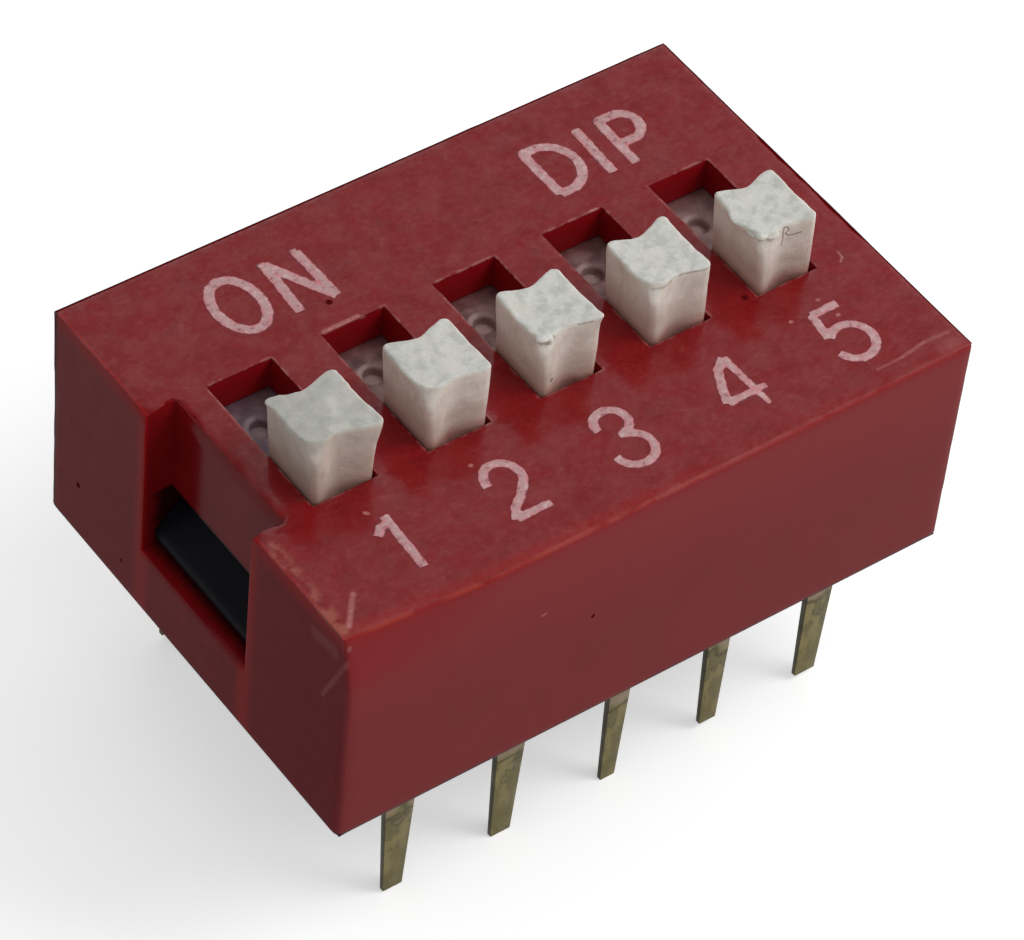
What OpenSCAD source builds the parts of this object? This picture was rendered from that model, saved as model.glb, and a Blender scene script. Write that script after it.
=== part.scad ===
// Raised-actuator slide DIP switch.
// X runs along the row of switches, +Y points to the ON side and +Z is up.
// The origin is the centre of the seating plane, at the underside of the cover.

/* [Switch layout] */
// Number of switches in the row
positions = 5; // [1:1:12]
// Distance from one switch to the next
pitch = 2.54; // [2.5:0.01:3.2]
// Distance between the two rows of terminals
row_spacing = 7.62; // [7.2:0.01:10.2]
// Distance that a slider moves from OFF to ON
travel = 1.86; // [1.7:0.01:2]

/* [Cover] */
// Length of the cover beyond one pitch for each switch
end_allowance = 1.56; // [1.5:0.01:2.4]
// Height of the cover above the seating plane
cover_h = 5.4; // [5.2:0.1:6.5]
// Thickness of the top wall
top_t = 0.75; // [0.5:0.05:0.9]
// Thickness of the front and back walls
side_t = 0.61; // [0.4:0.01:1.2]
// Radius of the four upright corners
corner_r = 0.12; // [0.05:0.01:0.4]
// Width of the slot that a knob stands in
slot_w = 1.4; // [1.3:0.01:1.45]

/* [End windows] */
// Width of the window in each end wall, and of the channel above the left one
channel_w = 3.48; // [2:0.02:5]
// Depth of the channel in the left end wall
channel_d = 0.66; // [0.4:0.01:0.75]
// Height of the windows' and the channel's floor above the seating plane
window_floor = 1.65; // [1.2:0.05:1.8]
// Height of the window through to the base
window_h = 1.43; // [1.3:0.01:1.6]

/* [Slider] */
// Width of the knob along the row
knob_w = 1.2; // [1:0.01:1.25]
// Length of the knob along its travel
knob_len = 1.52; // [1.3:0.01:1.7]
// Height of the knob above the cover
knob_rise = 1.45; // [0.5:0.05:2.5]
// Radius of the knob's upright corners
knob_r = 0.2; // [0.1:0.01:0.25]
// Depth of the finger groove in the knob's front and back
groove_d = 0.12; // [0.05:0.01:0.16]
// Thickness of the flange under the cover
flange_t = 0.5; // [0.3:0.05:0.6]
// How far the flange reaches past the slot all round
flange_lap = 0.25; // [0.15:0.01:0.3]
// Width of the slider's body under the flange
slider_body_w = 1.5; // [1.3:0.05:1.6]
// Length of the slider's body under the flange
slider_body_len = 3.2; // [3:0.05:3.4]
// Radius of the round dimples in the flange
dimple_r = 0.2; // [0.1:0.01:0.3]
// Depth of the round dimples in the flange
dimple_d = 0.25; // [0.05:0.05:0.35]
// Distance of the dimples from the middle of the knob
dimple_y = 1.89; // [1.4:0.01:2.1]

/* [Contacts] */
// Thickness of the contact spring's strip
spring_t = 0.1; // [0.06:0.01:0.14]
// Width of the contact spring's strip
spring_w = 0.8; // [0.5:0.05:0.9]
// Mean radius of each wave of the contact spring
wave_r = 0.4; // [0.35:0.01:0.42]
// Thickness of the terminal strip
terminal_t = 0.2; // [0.15:0.01:0.3]
// Width of the contact pads
pad_w = 1.1; // [0.9:0.05:1.4]
// How far the pads stand proud of the base
pad_proud = 0.05; // [0.02:0.01:0.1]
// Length of bare base between the two pads of a switch
pad_gap = 0.5; // [0.3:0.05:0.7]
// How far a spring's hump stays from the end of the pad it rests on
pad_margin = 0.2; // [0.1:0.05:0.4]
// Width of a leg where it leaves the base
leg_root_w = 0.8; // [0.6:0.01:0.85]
// Width of a leg at its tip
leg_tip_w = 0.52; // [0.4:0.01:0.6]
// Length of a leg below the seating plane
leg_len = 4.1; // [2.5:0.1:4.5]
// Outer radius of the bend from pad to leg
bend_r = 0.35; // [0.3:0.01:0.5]

/* [Base] */
// Height of the base's top face above the seating plane
base_top = 2.4; // [2.2:0.05:2.5]
// How far the base's underside stands back from the seating plane
base_recess = 0.1; // [0:0.05:0.3]
// Thickness of the base between a row of legs and the cover
base_side_t = 0.33; // [0.2:0.01:0.8]
// How far the base's end walls reach above the windows
window_lap = 0.3; // [0.1:0.05:0.5]
// How far a latch stands out of the base's end face
latch_out = 0.77; // [0.5:0.01:0.9]
// Radius of the latch's round nose
latch_r = 0.3; // [0.15:0.01:0.35]

/* [Clearances] */
// Gap between the base and the inside of the cover
base_gap = 0.05; // [0.02:0.01:0.1]
// Gap between a slider and the cover's walls and ribs beside it
side_gap = 0.1; // [0.05:0.01:0.12]
// Gap between a slider's flange and the cover above it
slide_gap = 0.05; // [0.02:0.01:0.08]
// Gap left at each end of a knob's travel
stop_gap = 0.03; // [0.02:0.01:0.1]
// Gap between a slider's body and the pads below it
foot_gap = 0.1; // [0.05:0.01:0.2]
// Gap around a terminal in the base
terminal_gap = 0.02; // [0.01:0.01:0.04]
// Gap between a contact spring and what it touches
spring_gap = 0.03; // [0.02:0.01:0.05]
// Gap between a latch and its window
latch_gap = 0.04; // [0.02:0.01:0.1]
// Gap between the cover's ribs and the base below them
rib_gap = 0.05; // [0.03:0.01:0.15]

/* [Hidden] */
$fn = 64;
// how far a cut runs past the face that it opens
cut = 0.5;

// the cover takes its inside from the sliders along the row, and from the base and
// its legs across it
flange_w = slot_w + 2 * flange_lap;
rib_t = pitch - flange_w - 2 * side_gap;
cover_l = pitch * positions + end_allowance;
cavity_l = pitch * (positions - 1) + flange_w + 2 * side_gap;
base_w = row_spacing + terminal_t + 2 * base_side_t;
cavity_w = base_w + 2 * base_gap;
cover_w = cavity_w + 2 * side_t;
cavity_h = cover_h - top_t;

// a slider rests at the front end of its slot, which is OFF
rest_y = -travel / 2;
slot_len = knob_len + travel + 2 * stop_gap;
flange_len = slot_len + travel + 2 * flange_lap;
flange_top = cavity_h - slide_gap;
flange_under = flange_top - flange_t;
knob_top = cover_h + knob_rise;

// a contact spring is a wave of three half rings, so its humps are four radii apart
spring_out_r = wave_r + spring_t / 2;
spring_in_r = wave_r - spring_t / 2;
hump_y = 2 * wave_r;
pad_top = base_top + pad_proud;
spring_z = pad_top + spring_gap + spring_out_r;
slider_foot = pad_top + foot_gap;
pocket_w = spring_w + 2 * spring_gap;
pocket_len = 2 * (hump_y + spring_out_r + spring_gap);
pocket_top = spring_z + spring_out_r + spring_gap;

// both humps rest on the front pad at OFF, and one on each pad at ON
front_pad_end = travel / 2 - hump_y + pad_margin;
back_pad_end = front_pad_end + pad_gap;
leg_y = row_spacing / 2;
leg_outer_y = leg_y + terminal_t / 2;
bend_y = leg_outer_y - bend_r;
bend_z = pad_top - bend_r;
pad_root_y = bend_y - bend_r;

// the base's end walls stand between the end sliders and the cover
base_l = cavity_l - 2 * base_gap;
base_end_t = base_l / 2 - pitch * (positions - 1) / 2 - slider_body_w / 2 - side_gap;
window_top = window_floor + window_h;

function switch_x(i) = (i - (positions + 1) / 2) * pitch;

// a block centred on X and Y, standing on z
module block(l, w, z, h) {
    translate([-l / 2, -w / 2, z]) cube([l, w, h]);
}

// a block whose four upright edges have radius r
module round_block(l, w, z, h, r) {
    block(l - 2 * r, w, z, h);
    block(l, w - 2 * r, z, h);
    for (x = [-1, 1], y = [-1, 1])
        translate([x * (l / 2 - r), y * (w / 2 - r), z]) cylinder(h = h, r = r);
}

module at_both_ends() {
    children();
    mirror([1, 0, 0]) children();
}

module at_switch(i) {
    translate([switch_x(i), 0, 0]) children();
}

// the cover is open below and takes the base from there
module cover() {
    color([0.55, 0.14, 0.16]) {
        difference() {
            round_block(cover_l, cover_w, 0, cover_h, corner_r);
            block(cavity_l, cavity_w, -cut, cavity_h + cut);
            for (i = [1:positions])
                at_switch(i) block(slot_w, slot_len, cavity_h - cut, top_t + 2 * cut);
            at_both_ends() end_window();
            end_channel();
        }
        if (positions > 1)
            for (i = [1:positions - 1])
                at_switch(i + 0.5) divider();
    }
}

// a window through the end wall, for the latch behind it
module end_window() {
    window_x = cavity_l / 2 - cut;
    translate([window_x, -channel_w / 2, window_floor])
        cube([cover_l / 2 - window_x + cut, channel_w, window_h]);
}

// a channel down the left end wall, which runs from the top into the window and marks
// the end of switch 1
module end_channel() {
    translate([-cover_l / 2 - cut, -channel_w / 2, window_floor])
        cube([channel_d + cut, channel_w, cover_h]);
}

// a rib under the top wall, which guides the sliders on both sides of it
module divider() {
    rib_foot = base_top + rib_gap;
    block(rib_t, cavity_w, rib_foot, cavity_h - rib_foot);
}

module base() {
    color([0.08, 0.08, 0.09])
        difference() {
            union() {
                block(base_l, base_w, base_recess, base_top - base_recess);
                at_both_ends() {
                    base_end_wall();
                    latch();
                }
            }
            for (i = [1:positions])
                at_switch(i) {
                    terminal_seat(front_pad_end);
                    mirror([0, 1, 0]) terminal_seat(-back_pad_end);
                }
        }
}

// a wall that closes the window from inside
module base_end_wall() {
    translate([base_l / 2 - base_end_t, -base_w / 2, base_recess])
        cube([base_end_t, base_w, window_top + window_lap - base_recess]);
}

// a hook that catches on the channel's floor: flat below, with a round nose and a
// 45 degree ramp above it
module latch() {
    latch_w = channel_w - 2 * latch_gap;
    foot = window_floor + latch_gap;
    nose = [latch_out - latch_r, foot + latch_r];
    ramp = nose + latch_r * [cos(45), sin(45)];
    translate([base_l / 2, latch_w / 2, 0])
        rotate([90, 0, 0])
            linear_extrude(latch_w) {
                translate(nose) circle(latch_r);
                polygon([
                    [-base_end_t, foot], [nose.x, foot], nose + [latch_r, 0],
                    ramp, [0, ramp.y + ramp.x], [-base_end_t, ramp.y + ramp.x]
                ]);
            }
}

// the groove for a front pad, the room for its bend and the hole for its leg
module terminal_seat(pad_end) {
    groove_w = pad_w + 2 * terminal_gap;
    hole_w = leg_root_w + 2 * terminal_gap;
    hole_t = terminal_t + 2 * terminal_gap;
    groove_z = pad_top - terminal_t - terminal_gap;
    outer_y = leg_outer_y + terminal_gap;
    translate([-groove_w / 2, -pad_root_y - terminal_gap, groove_z])
        cube([groove_w, pad_root_y + pad_end + 2 * terminal_gap, cut]);
    translate([-hole_w / 2, -outer_y, groove_z])
        cube([hole_w, outer_y - pad_root_y, cut]);
    translate([-hole_w / 2, -outer_y, bend_z])
        cube([hole_w, outer_y - bend_y, cut]);
    translate([-hole_w / 2, -outer_y, base_recess - cut])
        cube([hole_w, hole_t, base_top + cut]);
}

// one strip of brass on the front side: a pad, a bend and a leg that narrows to its tip
module terminal(pad_end) {
    strip_z = pad_top - terminal_t;
    translate([-pad_w / 2, -pad_root_y, strip_z])
        cube([pad_w, pad_root_y + pad_end, terminal_t]);
    translate([-leg_root_w / 2, -bend_y, strip_z])
        cube([leg_root_w, bend_y - pad_root_y, terminal_t]);
    translate([-leg_root_w / 2, -bend_y, bend_z])
        rotate([90, 0, 90])
            linear_extrude(leg_root_w) quarter_ring(bend_r, bend_r - terminal_t);
    translate([0, terminal_t - leg_outer_y, 0])
        rotate([90, 0, 0])
            linear_extrude(terminal_t)
                polygon([
                    [-leg_root_w / 2, bend_z], [-leg_root_w / 2, 0], [-leg_tip_w / 2, -leg_len],
                    [leg_tip_w / 2, -leg_len], [leg_root_w / 2, 0], [leg_root_w / 2, bend_z]
                ]);
}

// the quarter of a ring that lies up and to the left of its centre
module quarter_ring(outer_r, inner_r) {
    intersection() {
        difference() {
            circle(outer_r);
            circle(inner_r);
        }
        translate([-outer_r, 0]) square(outer_r);
    }
}

module terminal_front(i) {
    color([0.5, 0.47, 0.33]) at_switch(i) terminal(front_pad_end);
}

module terminal_back(i) {
    color([0.5, 0.47, 0.33]) at_switch(i) mirror([0, 1, 0]) terminal(-back_pad_end);
}

// a slider at rest: the knob, the flange that closes the slot, and the body with the
// pocket and peg that hold the contact spring
module actuator(i) {
    color([0.85, 0.84, 0.79])
        at_switch(i) translate([0, rest_y, 0]) {
            translate([0, 0, flange_under]) linear_extrude(knob_top - flange_under) knob_outline();
            difference() {
                block(flange_w, flange_len, flange_under, flange_t);
                for (y = [-dimple_y, dimple_y])
                    translate([0, y, flange_top - dimple_d]) cylinder(h = dimple_d + cut, r = dimple_r);
            }
            difference() {
                block(slider_body_w, slider_body_len, slider_foot, flange_under - slider_foot);
                block(pocket_w, pocket_len, slider_foot - cut, pocket_top - slider_foot + cut);
            }
            translate([-slider_body_w / 2, 0, spring_z])
                rotate([0, 90, 0]) cylinder(h = slider_body_w, r = spring_in_r - spring_gap);
        }
}

// a rectangle with round corners, and a concave arc in its front and back that runs
// smoothly into the corners
module knob_outline() {
    corner = [knob_w / 2 - knob_r, knob_len / 2 - knob_r];
    arc_r = (pow(corner.x, 2) + pow(groove_d, 2)) / (2 * groove_d) - knob_r;
    arc_y = knob_len / 2 - groove_d + arc_r;
    join = corner + knob_r / (knob_r + arc_r) * [-corner.x, arc_y - corner.y];
    difference() {
        union() {
            square([knob_w, 2 * corner.y], center = true);
            polygon([
                corner, join, [-join.x, join.y], [-corner.x, corner.y],
                -corner, -join, [join.x, -join.y], [corner.x, -corner.y]
            ]);
            for (x = [-1, 1], y = [-1, 1])
                translate([x * corner.x, y * corner.y]) circle(knob_r);
        }
        for (y = [-1, 1])
            translate([0, y * arc_y]) circle(arc_r);
    }
}

// a strip bent into an arch between two humps: the arch sits over the slider's peg and
// the humps touch the pads
module contact_spring(i) {
    color([0.8, 0.66, 0.3])
        at_switch(i) translate([-spring_w / 2, rest_y, spring_z])
            rotate([90, 0, 90])
                linear_extrude(spring_w) {
                    half_ring();
                    for (y = [-hump_y, hump_y])
                        translate([y, 0]) mirror([0, 1]) half_ring();
                }
}

module half_ring() {
    intersection() {
        difference() {
            circle(spring_out_r);
            circle(spring_in_r);
        }
        translate([-spring_out_r, 0]) square([2 * spring_out_r, spring_out_r]);
    }
}

cover();
base();
for (i = [1:positions]) {
    actuator(i);
    contact_spring(i);
    terminal_front(i);
    terminal_back(i);
}
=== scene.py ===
"""The finish of a five-position slide DIP switch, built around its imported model.

Pieces are modelled in millimetres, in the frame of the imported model, and brought to
metres as each one is finished.
"""
import math
from contextlib import contextmanager

import bpy
from mathutils import Matrix, Vector


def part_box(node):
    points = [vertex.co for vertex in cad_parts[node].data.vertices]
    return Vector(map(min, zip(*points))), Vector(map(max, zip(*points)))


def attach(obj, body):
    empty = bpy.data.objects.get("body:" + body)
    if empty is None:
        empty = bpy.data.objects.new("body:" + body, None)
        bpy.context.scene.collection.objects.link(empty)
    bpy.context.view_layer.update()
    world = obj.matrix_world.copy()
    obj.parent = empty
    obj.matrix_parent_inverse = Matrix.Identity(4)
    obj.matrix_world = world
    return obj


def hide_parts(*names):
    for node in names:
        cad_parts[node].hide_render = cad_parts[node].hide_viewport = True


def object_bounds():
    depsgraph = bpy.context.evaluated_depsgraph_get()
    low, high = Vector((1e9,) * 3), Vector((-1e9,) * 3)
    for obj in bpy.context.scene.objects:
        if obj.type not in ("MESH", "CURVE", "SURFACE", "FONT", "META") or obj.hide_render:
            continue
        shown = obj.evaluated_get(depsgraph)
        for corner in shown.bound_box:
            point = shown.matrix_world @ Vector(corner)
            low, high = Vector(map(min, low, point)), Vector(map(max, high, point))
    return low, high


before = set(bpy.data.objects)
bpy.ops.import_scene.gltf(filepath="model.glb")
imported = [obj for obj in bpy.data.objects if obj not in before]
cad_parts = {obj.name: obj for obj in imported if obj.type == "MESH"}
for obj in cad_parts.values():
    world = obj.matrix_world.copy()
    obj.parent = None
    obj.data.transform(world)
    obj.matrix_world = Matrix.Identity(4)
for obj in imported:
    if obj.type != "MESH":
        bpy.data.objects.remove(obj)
CAD_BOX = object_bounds()

MM = 0.001


# ---------------- sizes, in millimetres

def node_box(node):
    """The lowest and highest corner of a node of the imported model."""
    low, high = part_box(node)
    return low / MM, high / MM


COVER_LOW, COVER_HIGH = node_box("cover")
TOP = COVER_HIGH.z
LEG_TIP = CAD_BOX[0].z / MM
POSITIONS = sum(name.startswith("actuator_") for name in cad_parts)


def slider_middle(i):
    low, high = node_box(f"actuator_{i}")
    return (low + high) / 2


SLIDER_LOW, SLIDER_HIGH = node_box("actuator_1")
SWITCH_X = [slider_middle(i).x for i in range(1, POSITIONS + 1)]
PITCH = SWITCH_X[1] - SWITCH_X[0]
REST_Y = slider_middle(1).y

# cover
TOP_WALL = 0.75
UNDER_TOP = TOP - TOP_WALL
SIDE_WALL = 0.61
SLOT_WIDTH = 1.4
SLOT_LENGTH = 3.44
RIB = 0.44
RIB_FOOT = 2.45
CHANNEL_WIDTH = 3.48
CHANNEL_DEPTH = 0.66
WINDOW_FLOOR = 1.65
WINDOW_TOP = 3.08
OUTER_EDGE = 0.07
UPRIGHT_EDGE = 0.12
SLOT_EDGE = 0.03
# the front top edge is worn back at the left corner, less and less along, back and down
CORNER_WEAR = 0.24
WEAR_LENGTH = 3.0
WEAR_WIDTH = 1.0
WEAR_HEIGHT = 1.2

# slider
KNOB_WIDTH = 1.2
KNOB_LENGTH = 1.52
KNOB_SHIFT = -0.07
KNOB_CORNER = 0.13
KNOB_RIM = 0.07
KNOB_DISH = 0.05
FLARE_LEFT = 0.14
FLARE_RIGHT = 0.07
GROOVE_WIDTH = 1.02
GROOVE_DEPTH = 0.15
FLANGE_TOP = 4.6
FLANGE_UNDER = 4.1
FOOT_WIDTH = 1.5
FOOT_LENGTH = 3.2
DIMPLE_RADIUS = 0.2
DIMPLE_DEPTH = 0.2
DIMPLE_RIM = 0.1
DIMPLE_REACH = 1.89
POCKET_WIDTH = 0.86
POCKET_LENGTH = 2.56
POCKET_TOP = 3.41
PEG_HEIGHT = 2.93
PEG_RADIUS = 0.32

# terminals
STRIP = 0.2
COINED = 0.045
BEND_RADIUS = 0.35
PAD_TOP = 2.45

# a point this close to a face counts as on it
CLOSE = 1e-3


# ---------------- modelling

def only(piece):
    """Makes one piece the active one, with nothing else selected."""
    bpy.ops.object.select_all(action="DESELECT")
    piece.select_set(True)
    bpy.context.view_layer.objects.active = piece


@contextmanager
def editing(piece, kind="FACE", test=None):
    """Edit mode on a piece, with what passes the test selected, or all of it."""
    only(piece)
    mesh = piece.data
    parts = {"VERT": mesh.vertices, "EDGE": mesh.edges, "FACE": mesh.polygons}
    for name, group in parts.items():
        chosen = [False] * len(group)
        if name == kind and test:
            chosen = [bool(test(mesh, part)) for part in group]
        group.foreach_set("select", chosen)
    bpy.ops.object.mode_set(mode="EDIT")
    bpy.ops.mesh.select_mode(type=kind)
    if not test:
        bpy.ops.mesh.select_all(action="SELECT")
    yield
    bpy.ops.object.mode_set(mode="OBJECT")


def ends(mesh, edge):
    """The two end points of an edge."""
    return [mesh.vertices[v].co for v in edge.vertices]


def rise(mesh, edge):
    """The height between the two ends of an edge."""
    first, second = ends(mesh, edge)
    return abs(first.z - second.z)


def settled(piece, name):
    """Names a new piece and puts its place into its mesh."""
    piece.name = piece.data.name = name
    only(piece)
    bpy.ops.object.transform_apply(location=True, rotation=True, scale=True)
    return piece


def block(name, low, high):
    """A box between its lowest and highest corner."""
    low, high = Vector(low), Vector(high)
    bpy.ops.mesh.primitive_cube_add(size=1, location=(low + high) / 2, scale=high - low)
    return settled(bpy.context.object, name)


def rod(name, radius, low, high, turn=0.0, sides=48):
    """A cylinder from one end's middle to the other's, upright or turned about Y."""
    low, high = Vector(low), Vector(high)
    bpy.ops.mesh.primitive_cylinder_add(
        vertices=sides, radius=radius, depth=(high - low).length,
        location=(low + high) / 2, rotation=(0, turn, 0))
    return settled(bpy.context.object, name)


def combine(piece, other, operation):
    """Cuts the other piece out of this one, or joins it to this one."""
    only(piece)
    step = piece.modifiers.new(operation, "BOOLEAN")
    step.operation, step.solver, step.object = operation, "EXACT", other
    bpy.ops.object.modifier_apply(modifier=step.name)
    bpy.data.objects.remove(other)


def cut(piece, *others):
    for other in others:
        combine(piece, other, "DIFFERENCE")


def weld(piece, *others):
    for other in others:
        combine(piece, other, "UNION")


def stretch(x=1.0, y=1.0):
    """Stretches what is selected in edit mode, away from the origin."""
    bpy.ops.transform.resize(value=(x, y, 1), center_override=(0, 0, 0))


def round_edges(piece, width, segments, test):
    """Rounds the edges that pass the test."""
    with editing(piece, "EDGE", test):
        bpy.ops.mesh.bevel(offset=width, segments=segments, profile=0.5, affect="EDGES")


def cross_cut(piece, axis, places):
    """Cuts all faces across an axis at each place, which gives them points to shape."""
    direction = Vector([axis == name for name in "XYZ"])
    with editing(piece):
        for place in places:
            bpy.ops.mesh.select_all(action="SELECT")
            bpy.ops.mesh.bisect(
                plane_co=direction * place, plane_no=direction, threshold=0.0005)


def steps(low, high, spacing):
    """Places between two ends, evenly spaced and clear of both."""
    count = max(1, round((high - low) / spacing))
    return [low + (high - low) * (i + 0.5) / count for i in range(count)]


def displace(piece, depth, share=None, direction="NORMAL", middle=0.0, cloud=None):
    """Moves the points by depth, as much as share says at each, or by a cloud of noise."""
    only(piece)
    step = piece.modifiers.new("shape", "DISPLACE")
    step.texture, step.strength = cloud, depth
    step.mid_level, step.direction = middle, direction
    if share:
        group = piece.vertex_groups.new(name="share")
        for vertex in piece.data.vertices:
            part = share(vertex.co)
            if part > 0:
                group.add([vertex.index], min(part, 1), "REPLACE")
        step.vertex_group = group.name
    bpy.ops.object.modifier_apply(modifier=step.name)
    piece.vertex_groups.clear()


def roughen(piece, depth, size, share=None, seed=0.0, middle=0.5):
    """Moves the points in and out by soft noise, which another seed makes differ."""
    cloud = bpy.data.textures.new("wear", "CLOUDS")
    cloud.noise_scale, cloud.noise_depth = size, 2
    away = Vector((seed, 0, 0))
    shift_mesh(piece, away)
    displace(piece, depth, share and (lambda point: share(point - away)),
             middle=middle, cloud=cloud)
    shift_mesh(piece, -away)


def near(place, reach):
    """A share that fades from 1 at a place to nothing at a distance from it."""
    place = Vector(place)
    return lambda point: 0.5 + 0.5 * math.cos(math.pi * min((point - place).length / reach, 1))


def added(name, data):
    """A new object for a mesh, a curve, a camera or a lamp."""
    made = bpy.data.objects.new(name, data)
    bpy.context.collection.objects.link(made)
    return made


def shift_mesh(piece, by):
    with editing(piece):
        bpy.ops.transform.translate(value=by)


def copy_of(piece, name):
    """A copy with its own mesh."""
    return settled(added(name, piece.data.copy()), name)


def finish_piece(piece, body, finish, replaced=(), sharp=35):
    """Brings a piece to metres and gives it its shading, finish and body."""
    only(piece)
    piece.scale = (MM, MM, MM)
    bpy.ops.object.transform_apply(location=True, rotation=True, scale=True)
    bpy.ops.object.shade_smooth_by_angle(angle=math.radians(sharp))
    piece.data.materials.clear()
    piece.data.materials.append(finish)
    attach(piece, body)
    if replaced:
        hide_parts(*replaced)


def refinish(finish, *nodes):
    """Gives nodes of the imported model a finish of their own."""
    for node in nodes:
        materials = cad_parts[node].data.materials
        materials.clear()
        materials.append(finish)


# ---------------- finishes

class Value:
    """An output in a node tree. Arithmetic on it adds Math nodes."""

    def __init__(self, nodes, socket):
        self.nodes, self.socket = nodes, socket

    def math(self, operation, *terms, clamp=False):
        settings = {"operation": operation, "use_clamp": clamp}
        return self.nodes.add("ShaderNodeMath", settings, dict(enumerate(terms)))

    def __add__(self, other):
        return self.math("ADD", self, other)

    __radd__ = __add__

    def __sub__(self, other):
        return self.math("SUBTRACT", self, other)

    def __rsub__(self, other):
        return self.math("SUBTRACT", other, self)

    def __mul__(self, other):
        return self.math("MULTIPLY", self, other)

    __rmul__ = __mul__

    def __abs__(self):
        return self.math("ABSOLUTE", self)

    def __or__(self, other):
        return self.math("MAXIMUM", self, other)

    def clamped(self):
        return self.math("ADD", self, 0.0, clamp=True)


class Nodes:
    """A node tree of a material or of the room, in which every node is added in one way."""

    def __init__(self, tree):
        self.tree = tree

    def add(self, kind, settings=None, inputs=None, output=0):
        """Adds a node with its settings, feeds its sockets and returns one of its outputs."""
        node = self.tree.nodes.new(kind)
        for name, value in (settings or {}).items():
            setattr(node, name, value)
        for name, value in (inputs or {}).items():
            self.feed(node.inputs[name], value)
        return Value(self, node.outputs[output]) if node.outputs else None

    def feed(self, socket, value):
        if isinstance(value, Value):
            self.tree.links.new(value.socket, socket)
        else:
            socket.default_value = value

    def step(self, value, low, high, first=0.0, last=1.0):
        """Goes smoothly from first at low to last at high."""
        return self.add(
            "ShaderNodeMapRange", {"interpolation_type": "SMOOTHSTEP"},
            {"Value": value, "From Min": low, "From Max": high, "To Min": first, "To Max": last})

    def fall(self, value, low, high):
        """Goes smoothly from 1 at low to 0 at high."""
        return self.step(value, low, high, 1.0, 0.0)

    def vector(self, operation, *terms, output=0):
        return self.add(
            "ShaderNodeVectorMath", {"operation": operation}, dict(enumerate(terms)), output)


class Finish(Nodes):
    """A surface of the switch, as a material whose patterns are laid out in millimetres."""

    def __init__(self, name, **constants):
        self.material = bpy.data.materials.new(name)
        self.material.use_nodes = True
        super().__init__(self.material.node_tree)
        self.shader = self.tree.nodes["Principled BSDF"]
        for socket, value in constants.items():
            self.shader.inputs[socket.replace("_", " ")].default_value = value
        metres = self.add("ShaderNodeTexCoord", output="Object")
        self.place = self.add(
            "ShaderNodeMapping", inputs={"Vector": metres, "Scale": (1 / MM,) * 3})
        self.x, self.y, self.z = (
            self.add("ShaderNodeSeparateXYZ", inputs={0: self.place}, output=axis)
            for axis in "XYZ")

    def set(self, socket, value):
        """Feeds one socket of the shader."""
        self.feed(self.shader.inputs[socket], value)

    def from_switch(self):
        """The distance along the row from the middle of the nearest switch."""
        return self.x.math("WRAP", self.x, PITCH / 2, -PITCH / 2)

    def scaled(self, scale, turn=0.0):
        """The place on the piece, turned about the upright axis, with each axis stretched."""
        turned = self.add(
            "ShaderNodeMapping", inputs={"Vector": self.place, "Rotation": (0, 0, turn)})
        return self.add("ShaderNodeMapping", inputs={"Vector": turned, "Scale": scale})

    def facing(self, axis):
        """How far the surface faces along an axis: 1 along it, 0 across it, -1 against it."""
        normal = self.add("ShaderNodeNewGeometry", output="Normal")
        return self.add("ShaderNodeSeparateXYZ", inputs={0: normal}, output=axis)

    def noise(self, size, detail=3.0, roughness=0.5, place=None):
        """Soft noise from 0 to 1, whose spots are about size across."""
        return self.add(
            "ShaderNodeTexNoise", inputs={
                "Vector": place or self.place, "Scale": 1 / size, "Detail": detail,
                "Roughness": roughness})

    def mix(self, share, first, second):
        """A colour between two, each of them an output or its red, green and blue."""
        first, second = (
            (*part, 1.0) if isinstance(part, tuple) else part for part in (first, second))
        return self.add(
            "ShaderNodeMix", {"data_type": "RGBA"}, {0: share, 6: first, 7: second}, output=2)

    def spot(self, place, radius, soft=0.4):
        """1 within a radius of a place."""
        distance = self.vector("DISTANCE", self.place, place, output="Value")
        return self.fall(distance, radius * (1 - soft), radius * (1 + soft))

    def streak(self, start, end, radius, soft=0.5, place=None):
        """1 within a radius of a straight line."""
        start, end = Vector(start), Vector(end)
        along = end - start
        place = place or self.place
        offset = self.vector("SUBTRACT", place, start)
        share = self.vector(
            "DOT_PRODUCT", offset, along / along.length_squared, output="Value").clamped()
        shares = self.add("ShaderNodeCombineXYZ", inputs={0: share, 1: share, 2: share})
        foot = self.vector("MULTIPLY_ADD", shares, along, start)
        distance = self.vector("DISTANCE", place, foot, output="Value")
        return self.fall(distance, radius * (1 - soft), radius * (1 + soft))

    def done(self, base, roughness, height, depth):
        """Feeds the colour, the roughness and a relief of height times depth, in millimetres."""
        self.set("Base Color", base)
        self.set("Roughness", roughness)
        self.set("Normal", self.add(
            "ShaderNodeBump", inputs={"Strength": 1.0, "Distance": depth * MM, "Height": height}))
        return self.material


# marks on the cover, in millimetres: dark pits with their radius
PITS = (
    ((4.13, -1.65, TOP), 0.07), ((-2.65, 2.35, TOP), 0.07), ((-7.1, 3.93, 1.44), 0.07),
    ((-7.1, 2.4, 0.76), 0.05), ((-1.57, -4.88, 2.88), 0.05),
)
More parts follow.
